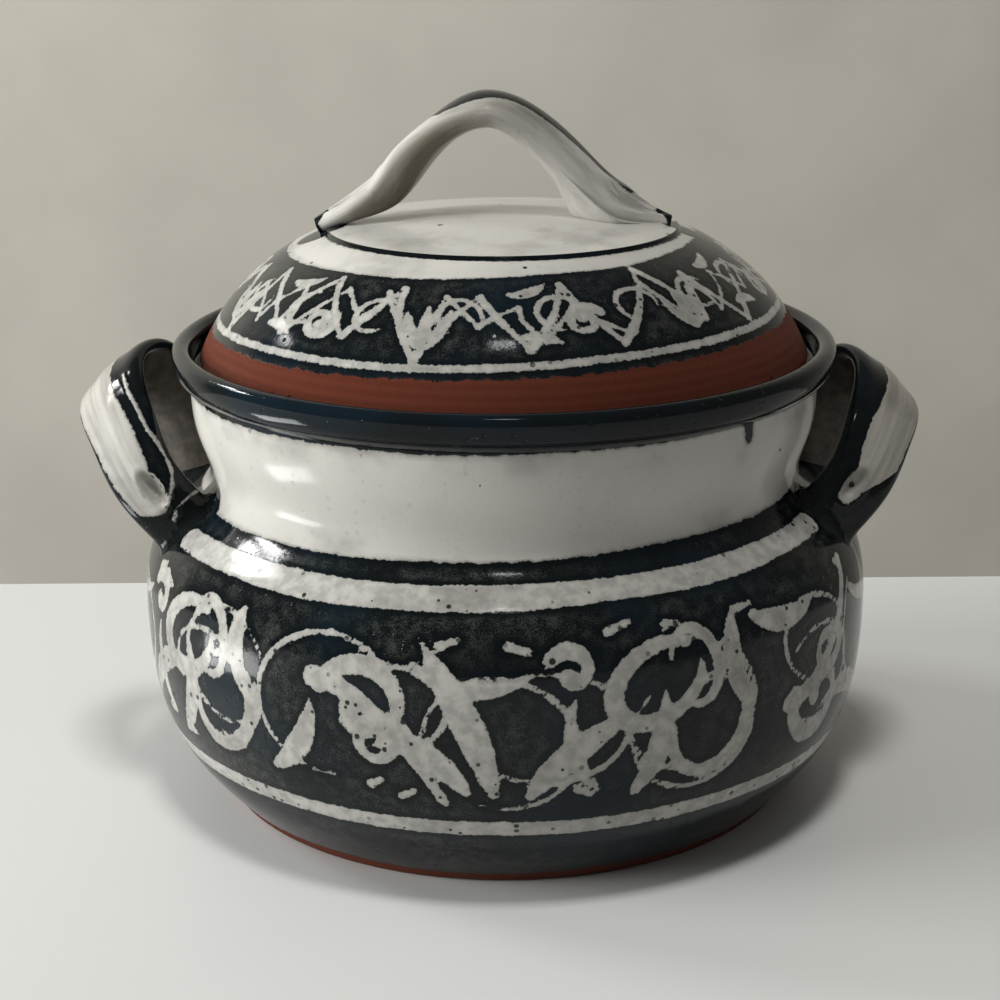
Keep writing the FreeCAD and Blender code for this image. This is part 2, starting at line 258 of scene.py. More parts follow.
class Curve:
    """A smooth curve through points, by natural cubics over their distances."""

    def __init__(self, points):
        self.points = [Vector(p) for p in points]
        self.knots = [0.0]
        for a, b in zip(self.points, self.points[1:]):
            self.knots.append(self.knots[-1] + (b - a).length)
        count = len(points)
        spans = [b - a for a, b in zip(self.knots, self.knots[1:])]
        slopes = [(b - a) / h for a, b, h in zip(self.points, self.points[1:], spans)]
        diagonal, right = [1.0], [self.points[0] * 0.0]
        for i in range(1, count - 1):
            share = spans[i - 1] / diagonal[-1] if i > 1 else 0.0
            diagonal.append(2 * (spans[i - 1] + spans[i]) - share * (spans[i - 1] if i > 1 else 0.0))
            right.append(6 * (slopes[i] - slopes[i - 1]) - share * right[-1])
        self.bends = [self.points[0] * 0.0 for _ in range(count)]
        for i in range(count - 2, 0, -1):
            self.bends[i] = (right[i] - spans[i] * self.bends[i + 1]) / diagonal[i]
        self.length = self.knots[-1]

    def span(self, s):
        """Which span the distance s falls in, and that span's length."""
        i = min(max(bisect_right(self.knots, s) - 1, 0), len(self.knots) - 2)
        return i, self.knots[i + 1] - self.knots[i]

    def at(self, s):
        i, h = self.span(s)
        a, b = self.knots[i + 1] - s, s - self.knots[i]
        m, n = self.bends[i], self.bends[i + 1]
        p, q = self.points[i], self.points[i + 1]
        bent = m * (a ** 3 / (6 * h)) + n * (b ** 3 / (6 * h))
        return bent + (p / h - m * (h / 6)) * a + (q / h - n * (h / 6)) * b

    def tangent(self, s):
        step = self.length * 1e-4
        return (self.at(min(s + step, self.length)) - self.at(max(s - step, 0.0))).normalized()

    def spaced(self, spacing):
        """Points along the whole curve, about one spacing apart."""
        count = max(2, round(self.length / spacing))
        return [self.at(self.length * k / count) for k in range(count + 1)]


def arc_points(start, middle, end, spacing):
    """Points on the circle through three points of a profile, from the first to the last."""
    (ax, ay), (bx, by), (cx, cy) = start, middle, end
    a, b, c = ax * ax + ay * ay, bx * bx + by * by, cx * cx + cy * cy
    d = 2 * (ax * (by - cy) + bx * (cy - ay) + cx * (ay - by))
    ux = (a * (by - cy) + b * (cy - ay) + c * (ay - by)) / d
    uy = (a * (cx - bx) + b * (ax - cx) + c * (bx - ax)) / d
    radius = math.hypot(ax - ux, ay - uy)
    first = math.atan2(ay - uy, ax - ux)
    turn_mid = (math.atan2(by - uy, bx - ux) - first) % math.tau
    turn_end = (math.atan2(cy - uy, cx - ux) - first) % math.tau
    if turn_mid > turn_end:
        turn_end -= math.tau
    count = max(2, round(abs(turn_end) * radius / spacing))
    points = []
    for k in range(count + 1):
        turn = first + turn_end * k / count
        points.append(Vector((ux + radius * math.cos(turn), uy + radius * math.sin(turn))))
    return points


def line_points(start, end, spacing):
    a, b = Vector(start), Vector(end)
    count = max(1, round((b - a).length / spacing))
    return [a.lerp(b, k / count) for k in range(count + 1)]


def joined(*runs):
    """Runs of points as one, with the repeated ends left out."""
    points = []
    for run in runs:
        for p in run:
            if not points or (p - points[-1]).length > 1e-4:
                points.append(p)
    return points


def spaced_by(total, spacing):
    """Distances from 0 to the total, each a spacing further that depends on where it is."""
    ways, s = [0.0], 0.0
    while s < total - 1e-6:
        s = min(total, s + spacing(s))
        ways.append(s)
    if ways[-1] - ways[-2] < 0.4:
        ways.pop(-2)
    return ways


class Wall:
    """A turned outer surface: its radius, its way along the profile and its nearest point."""

    def __init__(self, profile):
        self.profile = profile
        self.heights = [p.y for p in profile]
        self.ways = [0.0]
        for a, b in zip(profile, profile[1:]):
            self.ways.append(self.ways[-1] + (b - a).length)

    def _share(self, z):
        i = min(max(bisect_right(self.heights, z) - 1, 0), len(self.heights) - 2)
        return i, (z - self.heights[i]) / (self.heights[i + 1] - self.heights[i])

    @lru_cache(maxsize=None)
    def radius(self, z):
        i, share = self._share(z)
        return self.profile[i].x + (self.profile[i + 1].x - self.profile[i].x) * share

    @lru_cache(maxsize=None)
    def way(self, z):
        i, share = self._share(z)
        return self.ways[i] + (self.ways[i + 1] - self.ways[i]) * share

    def nearest(self, p):
        """The wall's nearest point to p, and its outward normal there."""
        flat = Vector((math.hypot(p.x, p.y), p.z))
        best, normal, least = None, None, 1e9
        for a, b in zip(self.profile, self.profile[1:]):
            run = b - a
            spot = a + run * clamped((flat - a).dot(run) / run.length_squared)
            if (flat - spot).length < least:
                least, best, normal = (flat - spot).length, spot, Vector((run.y, -run.x)).normalized()
        around = Vector((p.x, p.y)).normalized()
        return [Vector((around.x * v.x, around.y * v.x, v.y)) for v in (best, normal)]


@lru_cache(maxsize=None)
def wobble(angle, seed, amount):
    """A slow, closed wander round the jar."""
    return amount * noise.noise(Vector((math.cos(angle) * 2.2, math.sin(angle) * 2.2, seed * 3.7)))


def tilted(degrees, x):
    return math.tan(math.radians(degrees)) * x


def within(p, highlight_ridges):
    """How far p lies inside the raised ridges through points, negative outside them."""
    best = OUTSIDE
    for line in highlight_ridges:
        for a, b in zip(line, line[1:]):
            run = b - a
            share = clamped((p - a).dot(run) / run.length_squared)
            best = max(best, LINE_HALF - (p - a - run * share).length)
    return best


# Brushwork


class Brushwork:
    """Strokes on an unrolled band of the given circumference, read as a signed distance."""

    CELL = 6.0

    def __init__(self, around):
        self.around = around
        self.columns = round(around / self.CELL)
        self.size = around / self.columns
        self.cells = {}

    def _reached(self, a, b, reach):
        """The rows or columns of cells that a run from a to b can reach."""
        first = math.floor((min(a, b) - reach) / self.size)
        return range(first, math.floor((max(a, b) + reach) / self.size) + 1)

    def stroke(self, points):
        """A stroke through (x, y, half width) points."""
        for (ax, ay, aw), (bx, by, bw) in zip(points, points[1:]):
            reach = max(aw, bw) - OUTSIDE
            piece = (ax, ay, aw, bx - ax, by - ay, bw - aw)
            for i in self._reached(ax, bx, reach):
                for j in self._reached(ay, by, reach):
                    self.cells.setdefault((i % self.columns, j), []).append(piece)

    def distance(self, x, y):
        """Positive inside a stroke, negative outside."""
        best = OUTSIDE
        half = self.around / 2
        cell = (math.floor(x / self.size) % self.columns, math.floor(y / self.size))
        for ax, ay, aw, dx, dy, dw in self.cells.get(cell, ()):
            px, py = (x - ax + half) % self.around - half, y - ay
            share = clamped((px * dx + py * dy) / (dx * dx + dy * dy + 1e-9))
            best = max(best, aw + dw * share - math.hypot(px - dx * share, py - dy * share))
        return best

    def curl(self, x, y, start, turns, radius, width, hand=1):
        """A spiral from its outer end at (x, y) in to a round bud."""
        centre = (x - radius * math.cos(start), y - radius * math.sin(start))
        points = []
        for k in range(37):
            u = k / 36
            angle = start + hand * turns * math.tau * u
            r = radius * (1 - 0.78 * u)
            half = width * (0.5 + 0.12 * math.sin(9 * u))
            points.append((centre[0] + r * math.cos(angle), centre[1] + r * math.sin(angle), half))
        points.append((*points[-1][:2], width * 0.85))
        self.stroke(points)

    def leaf(self, x, y, angle, reach, width, bend=0.0):
        """A leaf laid down with one press of the brush."""
        points = []
        for k in range(17):
            u = k / 16
            turn = angle + bend * u
            half = 0.45 + width / 2 * math.sin(math.pi * min(1.0, 0.06 + u * 0.97)) ** 0.8
            points.append((x + reach * u * math.cos(turn), y + reach * u * math.sin(turn), half))
        self.stroke(points)

    def loop(self, x, y, reach, rise, lean, start, sweep, width):
        """A leaning oval drawn part of the way round, thin at both ends."""
        points = []
        for k in range(29):
            u = k / 28
            turn = start + sweep * u
            px, py = reach * math.cos(turn), rise * math.sin(turn)
            swell = 0.35 + 0.65 * math.sin(math.pi * u) ** 0.7
            points.append((
                x + px * math.cos(lean) - py * math.sin(lean),
                y + px * math.sin(lean) + py * math.cos(lean),
                width / 2 * swell,
            ))
        self.stroke(points)

    def fan(self, chance, x, y, width, length):
        """Curved, tapered blades that spread from one foot, the tallest with a hooked tip."""
        for lean in (-0.66, -0.16, 0.5):
            reach = length * chance.uniform(0.78, 1.02) * (1 - 0.3 * abs(lean))
            angle = math.pi / 2 - lean + chance.uniform(-0.1, 0.1)
            foot = y + chance.uniform(0, 6)
            bend = -lean * chance.uniform(0.7, 1.3) + chance.uniform(-0.2, 0.2)
            self.leaf(x + lean * 16, foot, angle, reach, width * chance.uniform(0.8, 1.1), bend)
        self.curl(x + length * 0.24, y + length * 0.80, 2.6, 0.8, length * 0.13, width * 0.55, -1)


def paint_belly(settings, low, high, around):
    """Scrolls, fans of blades and nests of loops over thin crossing rings, round the belly."""
    brush = Brushwork(around)
    chance = random.Random(settings.seed)
    broad, thin = settings.stem_width / MM, settings.thin_width / MM
    middle, rise = (low + high) / 2, high - low
    step = around / settings.clumps
    for k in range(settings.clumps):
        x = step * (k + 0.5) + chance.uniform(-4, 4)
        hand = 1 if k % 2 else -1
        for _ in range(2):
            size = chance.uniform(17, 25)
            place = (x + chance.uniform(-18, 18), middle + chance.uniform(-8, 8))
            flat, lean, start = chance.uniform(0.7, 0.95), chance.uniform(-0.5, 0.5), chance.uniform(0, 6)
            brush.loop(*place, size, size * flat, lean, start, 5.2, thin)
        if k % 3 == 0:
            y = middle + rise * 0.12 * hand
            brush.curl(x - 6, y, math.pi * 0.9, 1.05, 15.0 + chance.uniform(-1, 1.5), broad * 0.9, -hand)
            tail = []
            for j in range(13):
                u = j / 12
                drop = hand * rise * (0.04 - 0.60 * u * u)
                tail.append((x - 8 + 40 * u, y + drop, broad * (0.62 - 0.36 * u)))
            brush.stroke(tail)
            brush.curl(x + 22, middle - hand * rise * 0.10, 0.3, 1.1, 9.5, broad * 0.72, hand)
            brush.leaf(x - 24, middle - hand * rise * 0.38, hand * 0.55, 30, broad * 1.2, 0.5)
        elif k % 3 == 1:
            brush.fan(chance, x, low + 3, broad * 1.45, rise * 0.95)
            brush.leaf(x - 26, middle + rise * 0.28, -0.75, 36, broad * 0.8, 0.7)
            brush.leaf(x + 28, low + 8, 2.4, 30, broad * 0.7, -0.6)
        else:
            brush.loop(x - 9, middle + 9, 15, 11, 0.5, 0.4, 5.6, broad * 1.1)
            brush.loop(x + 9, middle - 7, 13, 16, -0.4, 2.4, -5.3, broad * 0.95)
            brush.loop(x + 3, middle + 12, 8, 12, 0.2, 4.0, 5.0, broad * 0.7)
            brush.leaf(x - 16, low + 5, 0.9, 33, broad * 1.25, 0.4)
            brush.leaf(x + 18, high - 6, -1.9, 30, broad * 1.1, 0.5)
        for _ in range(3):
            spot = (x + chance.uniform(-32, 32), low + rise * chance.choice((0.08, 0.13, 0.88, 0.93)))
            end = (spot[0] + chance.uniform(3, 8), spot[1] + chance.uniform(-3, 3), 0.8)
            brush.stroke([(*spot, 1.5), end])
    return brush


def paint_lid(settings, low, high, around):
    """Two crossing zigzags with loops and short leaves, between two heights of the lid."""
    brush = Brushwork(around)
    chance = random.Random(settings.seed + 5)
    line = settings.lid_line / MM
    rise = high - low
    zigzags = ((settings.lid_sprigs, 0.14, 0.84, 0.50), (settings.lid_sprigs + 6, 0.26, 0.70, 0.36))
    for turns, bottom, top, width in zigzags:
        spots = []
        for k in range(turns * 2):
            level = (bottom if k % 2 else top) + chance.uniform(-0.15, 0.13)
            spots.append((around * (k + chance.uniform(-0.42, 0.42)) / (turns * 2), low + rise * level))
        spots.append((around + spots[0][0], spots[0][1]))
        for (ax, ay), (bx, by) in zip(spots, spots[1:]):
            bow = chance.uniform(-2.6, 2.6)
            run = []
            for k in range(9):
                u = k / 8
                thick = line * width * (1.15 - 0.5 * u)
                run.append((ax + (bx - ax) * u + bow * math.sin(math.pi * u), ay + (by - ay) * u, thick))
            brush.stroke(run)
    for k in range(settings.lid_sprigs):
        x = around * (k + 0.5) / settings.lid_sprigs + chance.uniform(-2, 2)
        lean, start = chance.uniform(-1, 1), chance.uniform(0, 6)
        brush.loop(x + 9, low + rise * 0.5, 7, 6, lean, start, 4.6, line * 0.8)
        if k % 3 == 0:
            hand = 1 if k % 2 else -1
            brush.curl(x - 4, low + rise * 0.45, chance.uniform(0, 6), 1.3, 5.8, line * 1.25, hand)
        elif k % 3 == 1:
            for spread in (-0.7, 0.1, 0.8):
                angle = math.pi / 2 + spread
                brush.leaf(x, low + rise * 0.12, angle, rise * 0.5, line * 1.25, -0.4 * spread)
        else:
            brush.leaf(x - 6, high - rise * 0.22, -0.2, 13, line * 1.3, 0.5)
            brush.leaf(x - 3, low + rise * 0.22, 0.3, 11, line * 1.2, -0.5)
    return brush


# Shader sheets


class Signal:
    """A shader socket that adds Math nodes when it is used in a sum."""

    def __init__(self, sheet, socket):
        self.sheet = sheet
        self.socket = socket

    def __add__(self, other):
        return self.sheet.math("ADD", self, other)

    def __sub__(self, other):
        return self.sheet.math("SUBTRACT", self, other)

    def __rsub__(self, other):
        return self.sheet.math("SUBTRACT", other, self)

    def __mul__(self, other):
        return self.sheet.math("MULTIPLY", self, other)

    __radd__ = __add__
    __rmul__ = __mul__

    def steps(self, low, high):
        """A soft step from 0 at low to 1 at high."""
        soft = {"interpolation_type": "SMOOTHSTEP"}
        inputs = {"Value": self, "From Min": low, "From Max": high}
        return self.sheet.node("ShaderNodeMapRange", soft, inputs, "Result")


class Sheet:
    """The node tree of a material or of the world."""

    def __init__(self, owner):
        owner.use_nodes = True
        self.owner = owner
        self.tree = owner.node_tree
        self.tree.nodes.clear()

    def node(self, kind, settings, inputs, output=None):
        """A node with its settings and its sockets' values or links, read at one output."""
        made = self.tree.nodes.new(kind)
        for key, value in settings.items():
            setattr(made, key, value)
        for key, value in inputs.items():
            if isinstance(value, Signal):
                self.tree.links.new(value.socket, made.inputs[key])
            else:
                made.inputs[key].default_value = value
        return None if output is None else Signal(self, made.outputs[output])

    def math(self, operation, first, second):
        return self.node("ShaderNodeMath", {"operation": operation}, {0: first, 1: second}, "Value")

    def mix(self, share, first, second):
        first, second = [v if isinstance(v, Signal) else (*v, 1.0) for v in (first, second)]
        return self.node("ShaderNodeMix", {"data_type": "RGBA"}, {0: share, 6: first, 7: second}, 2)

    def attribute(self, name):
        return self.node("ShaderNodeAttribute", {"attribute_name": name}, {}, "Fac")

    def place(self):
        return self.node("ShaderNodeTexCoord", {}, {}, "Object")

    def noise(self, vector, scale, detail=3.0, rough=0.55):
        inputs = {"Vector": vector, "Scale": scale, "Detail": detail, "Roughness": rough}
        return self.node("ShaderNodeTexNoise", {}, inputs, "Fac")

    def holes(self, vector, scale, size, share):
        """Round spots of mixed sizes: one inside the given share of the cells."""
        far = self.node("ShaderNodeTexVoronoi", {}, {"Vector": vector, "Scale": scale}, "Distance")
        tint = Signal(self, far.socket.node.outputs["Color"])
        pick = self.node("ShaderNodeSeparateColor", {}, {"Color": tint}, "Red")
        radius = pick.steps(1.0 - share, 1.0) * size
        return (radius - far).steps(0.0, size * 0.25)

    def finish(self, surface, height, distance):
        """Close a material with a bumped surface."""
        bump = {"Height": height, "Distance": distance, "Strength": 1.0}
        surface = {**surface, "Normal": self.node("ShaderNodeBump", {}, bump, "Normal")}
        shader = self.node("ShaderNodeBsdfPrincipled", {}, surface, "BSDF")
        self.node("ShaderNodeOutputMaterial", {}, {"Surface": shader})
        return self.owner


def times(tint, factor):
    """A colour made lighter or darker."""
    return [c * factor for c in tint]


def glaze_material(name, settings, bare=False, liner=0.0, streaks=0.0, stretch=(0.020, 0.34), specks=1.0):
    """Black and white glaze parted by the painted slip, with pinholes, ragged edges and specks."""
    sheet = Sheet(bpy.data.materials.new(name))
    place = sheet.place()
    slip = sheet.attribute("slip")
    fine = sheet.noise(place, 900.0, 2.0)
    coarse = sheet.noise(place, 260.0, 3.0)
    cloud = sheet.noise(place, 38.0, 3.0)
    grain = sheet.noise(place, 2300.0, 2.0, 0.7)
    wander = settings.ragged / MM
    edge = slip + (coarse - 0.5) * (wander * 2.2) + (fine - 0.5) * (wander * 1.6)
    small = sheet.holes(place, 360.0, 0.34, 0.5)
    large = sheet.holes(place, 150.0, 0.17, 0.16)
    thick = sheet.attribute("thick")
    patchy = cloud.steps(0.34, 0.56) * (1.0 - thick * 0.9)
    hole = sheet.math("MAXIMUM", small * patchy, large)
    white = edge.steps(-0.16, 0.16) * (1.0 - hole * 0.93)

    depth = (0.0 - slip).steps(0.7, 3.0)
    freckles = (grain * 0.6 + coarse * 0.4).steps(0.44, 0.62)
    thin = freckles * (cloud.steps(0.30, 0.62) * 0.8 + 0.2) * depth * specks
    black = sheet.mix(thin * 0.9, settings.black, settings.speck)
    blue = [c * f for c, f in zip(settings.black, (1.2, 2.1, 2.9))]
    black = sheet.mix(sheet.noise(place, 24.0, 2.0).steps(0.46, 0.70) * 0.8, black, blue)

    pale = sheet.mix(cloud.steps(0.3, 0.7) * 0.5, settings.white, times(settings.white, 0.86))
    pale = sheet.mix(fine.steps(0.56, 0.72) * 0.22, pale, times(settings.white, 0.70))
    wash = cloud
    if streaks:
        along = sheet.node("ShaderNodeCombineXYZ", {}, {
            "X": sheet.attribute("along") * stretch[0], "Y": sheet.attribute("around") * stretch[1],
        }, "Vector")
        wash = sheet.noise(along, 1.0, 4.0, 0.6)
        pale = sheet.mix(wash.steps(0.40, 0.70) * streaks, pale, times(settings.white, 0.40))
        # Painted shade: the strap's white is darkened by the attribute that marks where the strap should
        # look shaded.
        pale = sheet.mix(sheet.attribute("smoke") * (wash * 0.8 + 0.6), pale, settings.smoke)
    # Where thick is low the white turns washed grey: thin glaze, and on the ears the painted shade in the
    # finger dents.
    washed = sheet.mix(coarse.steps(0.35, 0.65), settings.haze, times(settings.white, 0.78))
    pale = sheet.mix(thick, washed, pale)
    pale = sheet.mix(cloud.steps(0.48, 0.7) * (1.0 - slip.steps(3.0, 9.0)) * 0.3, pale, settings.liner)
    pale = sheet.mix(edge.steps(0.1, 0.9), settings.haze, pale)
    base = sheet.mix(white, black, pale)
    rough = settings.gloss + fine * 0.05 + thin * 0.14 + white * 0.05
    height = fine * 0.05 + coarse * 0.10 + white * 0.35 - hole * 0.6

    veils = []
    if liner:
        smudges = wash if liner < 1 else cloud * 0.5 + coarse * 0.5
        veils.append(("liner", liner, settings.liner, smudges, 0.7, 0.36))
    if bare:
        rings = sheet.node("ShaderNodeTexWave", {"bands_direction": "Z"}, {
            "Vector": place, "Scale": 110.0, "Distortion": 5.0, "Detail": 2.0, "Detail Scale": 25.0,
        }, "Fac")
        veils.append(("bare", 1.0, settings.clay, rings, 0.22, 0.7))
    for attribute, veil, tint, marks, contrast, dull in veils:
        reach = sheet.attribute(attribute) + (coarse - 0.5) * 2.2 + (fine - 0.5) * 1.4
        cover = reach.steps(-0.2, 0.2) * veil
        darker = marks.steps(0.36, 0.62) * contrast + grain * 0.25
        shade = sheet.mix(darker, times(tint, 1.6), times(tint, 0.5))
        shade = sheet.mix(sheet.holes(place, 170.0, 0.16, 0.25), shade, times(tint, 0.25))
        base = sheet.mix(cover, base, shade)
        rough = rough * (1.0 - cover) + cover * dull
        height = height * (1.0 - cover) + cover * (marks * 0.14 + grain * 0.22)
    surface = {"Base Color": base, "Roughness": rough, "IOR": 1.5, "Specular IOR Level": 0.22}
    return sheet.finish(surface, height, 0.00035)


def plain_material(name, tint, rough, mottle):
    """A flat painted surface with a faint mottle."""
    sheet = Sheet(bpy.data.materials.new(name))
    place = sheet.place()
    soft = sheet.noise(place, 5.0, 4.0)
    base = sheet.mix(soft.steps(0.3, 0.7), tint, times(tint, 1 - mottle))
    grain = sheet.noise(place, 400.0, 2.0)
    return sheet.finish({"Base Color": base, "Roughness": rough + grain * 0.06}, grain, 0.00003)


# Shaping


def spun(profile, sectors=24):
    """A closed shell that turns a profile of (radius, height) once round Z, sector by sector."""
    shell = bmesh.new()
    verts = [shell.verts.new((p.x * MM, 0.0, p.y * MM)) for p in profile]
    edges = [shell.edges.new(pair) for pair in zip(verts, verts[1:])]
    turn = {"cent": (0, 0, 0), "axis": (0, 0, 1)}
    bmesh.ops.spin(shell, geom=verts + edges, angle=math.tau / sectors, steps=sectors, **turn)
    sector = shell.verts[:] + shell.edges[:] + shell.faces[:]
    rest = sectors - 1
    turn.update(angle=math.tau * rest / sectors, steps=rest, use_duplicate=True)
    bmesh.ops.spin(shell, geom=sector, **turn)
    bmesh.ops.remove_doubles(shell, verts=shell.verts, dist=1e-6)
    bmesh.ops.recalc_face_normals(shell, faces=shell.faces)
    return shell


class Strap:
    """The rings of a pulled strap, with named values for each point."""

    def __init__(self):
        self.rings = []
        self.values = {}

    def add(self, ring, first=False, **rows):
        """Put a ring and its rows of values after the last ring, or before the first."""
        place = 0 if first else len(self.rings)
        self.rings.insert(place, ring)
        for name, row in rows.items():
            self.values.setdefault(name, []).insert(place, row)

    def skin(self):
        """A closed skin over the rings, with its ends filled."""
        rows, around = len(self.rings), len(self.rings[0])
        skin = bmesh.new()
        bmesh.ops.create_grid(skin, x_segments=rows - 1, y_segments=around, size=1.0)
        layers = {name: skin.verts.layers.float.new(name) for name in self.values}
        for vert in skin.verts:
            row = round((vert.co.x + 1) / 2 * (rows - 1))
            spot = round((vert.co.y + 1) / 2 * around) % around
            for name, layer in layers.items():
                vert[layer] = self.values[name][row][spot]
            vert.co = self.rings[row][spot] * MM
        bmesh.ops.remove_doubles(skin, verts=skin.verts, dist=1e-7)
        bmesh.ops.holes_fill(skin, edges=[e for e in skin.edges if e.is_boundary], sides=0)
        bmesh.ops.recalc_face_normals(skin, faces=skin.faces)
        return skin


def placed(name, shell, material, body, node):
    """The bmesh as a finished piece that stands for a CAD node."""
    mesh = bpy.data.meshes.new(name)
    shell.to_mesh(mesh)
    shell.free()
    mesh.shade_smooth()
    mesh.set_sharp_from_angle(angle=math.radians(50.0))
    mesh.materials.append(material)
    piece = bpy.data.objects.new(name, mesh)
    bpy.context.collection.objects.link(piece)
    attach(piece, body)
    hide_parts(node)
    return piece


def jar_profile():
    """The jar's whole profile, from the middle of its underside round to the middle of its floor."""
    roll = RIM_WIDTH / 2
    gallery = RIM_RADIUS - RIM_WIDTH
    centre = (RIM_RADIUS - roll, JAR_HEIGHT - roll)
    outer = Curve(JAR_WALL)
    belly = [outer.at(s) for s in spaced_by(outer.length, lambda s: 1.5 if 20 < s < 112 else 2.4)]
    swell = Curve([JAR_WALL[-1], (107.2, 142.6), (109.7, 145.4), (RIM_RADIUS, 149.0)]).spaced(0.9)
    cap = arc_points((RIM_RADIUS, centre[1]), (centre[0], JAR_HEIGHT), (gallery, centre[1]), 0.8)
    corner = (
        (gallery, LEDGE_HEIGHT + 0.8),
        (gallery - 0.24, LEDGE_HEIGHT + 0.24),
        (gallery - 0.8, LEDGE_HEIGHT),
    )
    lip = (
        (THROAT_RADIUS + 1.6, LEDGE_HEIGHT),
        (THROAT_RADIUS + 0.47, LEDGE_HEIGHT - 0.47),
        (THROAT_RADIUS, LEDGE_HEIGHT - 1.6),
    )
    ledge = joined(
        line_points((gallery, centre[1]), corner[0], 1.6),
        arc_points(*corner, 0.5),
        line_points(corner[-1], lip[0], 2.0),
        arc_points(*lip, 0.6),
    )
    bottom = joined(
        line_points((0, 2), (81.5, 2), 20.0),
        line_points((81.5, 2), (83.5, 0.2), 1.5),
        line_points((83.8, 0), (96.2, 0), 4.0),
        arc_points((96.2, 0), (98.2, 0.9), JAR_WALL[0], 0.8),
    )
    inside = Curve(JAR_INSIDE).spaced(7.0)
    return joined(bottom, belly, swell, cap, ledge, inside, line_points(JAR_INSIDE[-1], (0, 8), 20.0))


def root_places(ear, side):
    """Where an ear's two roots stand on the shoulder."""
    places = []
    for y in (-ear["front"], ear["back"]):
        places.append(Vector((side * math.sqrt(EAR_ROOT_RADIUS ** 2 - y ** 2), y, EAR_ROOT_HEIGHT)))
    return places


def jar_paint(settings):
    """The jar's wall, and how far a point of it lies inside the white glaze and how thick that is."""
    wall = Wall(Curve(JAR_WALL).spaced(0.5))
    low, high = [wall.way(height) for height in BELLY_PAINT]
    brush = paint_belly(settings, low + 2.5, high - 2.5, math.tau * BELLY_ROLL)
    clear = [(root, ROOT_CLEAR) for root in root_places(LEFT_EAR, -1) + root_places(RIGHT_EAR, 1)]
    clear += [(Vector((DRIP_SIDE, -DRIP_SIDE, height)), radius) for height, radius in DRIP]

    def slip(p):
        angle = round(math.atan2(p.y, p.x), 5)
        way = wall.way(round(p.z, 3))
        lower = FOOT_LINE_HALF - abs(way - wall.way(FOOT_LINE + wobble(angle, 1, 0.7)))
        low = wall.way(SHOULDER_BAND[0] + tilted(1.0, p.x) + wobble(angle, 2, 0.8))
        high = wall.way(SHOULDER_BAND[1] + tilted(0.9, p.x) + wobble(angle, 3, 0.8))
        half = (high - low) / 2
        turn = abs(math.atan2(p.x, abs(p.y)))
        over = max(0.0, turn - (math.radians(SHOULDER_TURN) - half / SHOULDER_ROLL)) * SHOULDER_ROLL
        shoulder = half - math.hypot(over, way - (low + high) / 2)
        neck_low = wall.way(NECK_BAND[0] + tilted(1.5, p.x) + wobble(angle, 4, 0.8))
        neck_high = wall.way(NECK_BAND[1] + tilted(0.5, p.x) + wobble(angle, 5, 0.6))
        neck = min(way - neck_low, neck_high - way)
        for spot, radius in clear:
            neck = min(neck, (p - spot).length - radius)
        strokes = brush.distance(angle * BELLY_ROLL, way) if way < low else OUTSIDE
        return max(lower, shoulder, neck, strokes), clamped(neck)

    return wall, slip


class OBJECT_OT_throw_jar(bpy.types.Operator):
    """Throw the jar's body and paint its bands"""

    bl_idname = "object.throw_jar"
    bl_label = "Throw the jar"

    def execute(self, context):
        wall, slip = jar_paint(context.scene.jar_paint)
        shell = spun(jar_profile())
        paint = shell.verts.layers.float.new("slip")
        thick = shell.verts.layers.float.new("thick")
        bare = shell.verts.layers.float.new("bare")
        for vert in shell.verts:
            p = vert.co / MM
            reach = math.hypot(p.x, p.y)
            angle = round(math.atan2(p.y, p.x), 5)
            under = p.z < FOOT_TOP + 0.1
            outer = FOOT_TOP <= p.z <= COLLAR and abs(reach - wall.radius(round(p.z, 3))) < 1.0
            if outer:
                vert[paint], vert[thick] = slip(p)
            elif p.z < COLLAR and reach < 110 and p.z > FOOT_TOP + 0.1:
                vert[paint] = INSIDE
                vert[thick] = 1.0
            else:
                vert[paint] = -0.6
            vert[bare] = BARE_FOOT + wobble(angle, 6, 1.2) - p.z if outer or under else OUTSIDE
            if p.z > RIM_RISE_FROM:
                lift = min(1.0, (p.z - RIM_RISE_FROM) / 25.0)
                vert.co.z += RIM_RISE * MM * lift * max(0.0, p.y / 110.0) ** 2
        material = glaze_material("jar_glaze", context.scene.jar_glaze, bare=True)
        placed("thrown_jar", shell, material, "jar", "jar_body")
        return {"FINISHED"}


def strap_ring(centre, across, outward, width, thickness, points, groove):
    """A closed oval across a strap, with two shallow grooves in its outer face."""
    ring = []
    for k in range(points):
        angle = math.tau * k / points - math.pi / 2
        c, s = math.cos(angle), math.sin(angle)
        side = math.copysign(abs(c) ** STRAP_SQUARENESS, c)
        face = math.copysign(abs(s) ** STRAP_SQUARENESS, s)
        depth = thickness / 2 * face
        if face > 0:
            depth -= groove * face * math.sin(math.pi * side) ** 2
        ring.append((centre + across * (side * width / 2) + outward * depth, side, face))
    return ring


def ear_curve(ear):
    """The left ear's centre line, from its front root over the apex to its back root."""
    front, back = root_places(ear, -1)

    def bent(foot, bend):
        along, out, up = bend
        return Vector((foot.x - ear["reach"] * out, foot.y * along, foot.z + ear["rise"] * up))

    apex = Vector(((front.x + back.x) / 2 - ear["reach"], EAR_APEX_SHIFT, EAR_ROOT_HEIGHT + ear["rise"]))
    points = [front] + [bent(front, b) for b in EAR_FRONT_BENDS] + [apex]
    return Curve(points + [bent(back, b) for b in reversed(EAR_BACK_BENDS)] + [back])


def ear_axes(spot, direction, ear):
    """The directions across an ear's strap and out of its outer face."""
    lean = math.radians(EAR_LEAN)
    twist = math.tan(math.radians(EAR_TWIST)) * -spot.y / ear["front"]
    across = Vector((math.cos(lean), twist, math.sin(lean)))
    across = (across - direction * across.dot(direction)).normalized()
    outward = across.cross(direction)
    middle = Vector((spot.x / 2, 0, EAR_ROOT_HEIGHT + ear["rise"] / 4))
    return across, outward if outward.dot(spot - middle) > 0 else -outward


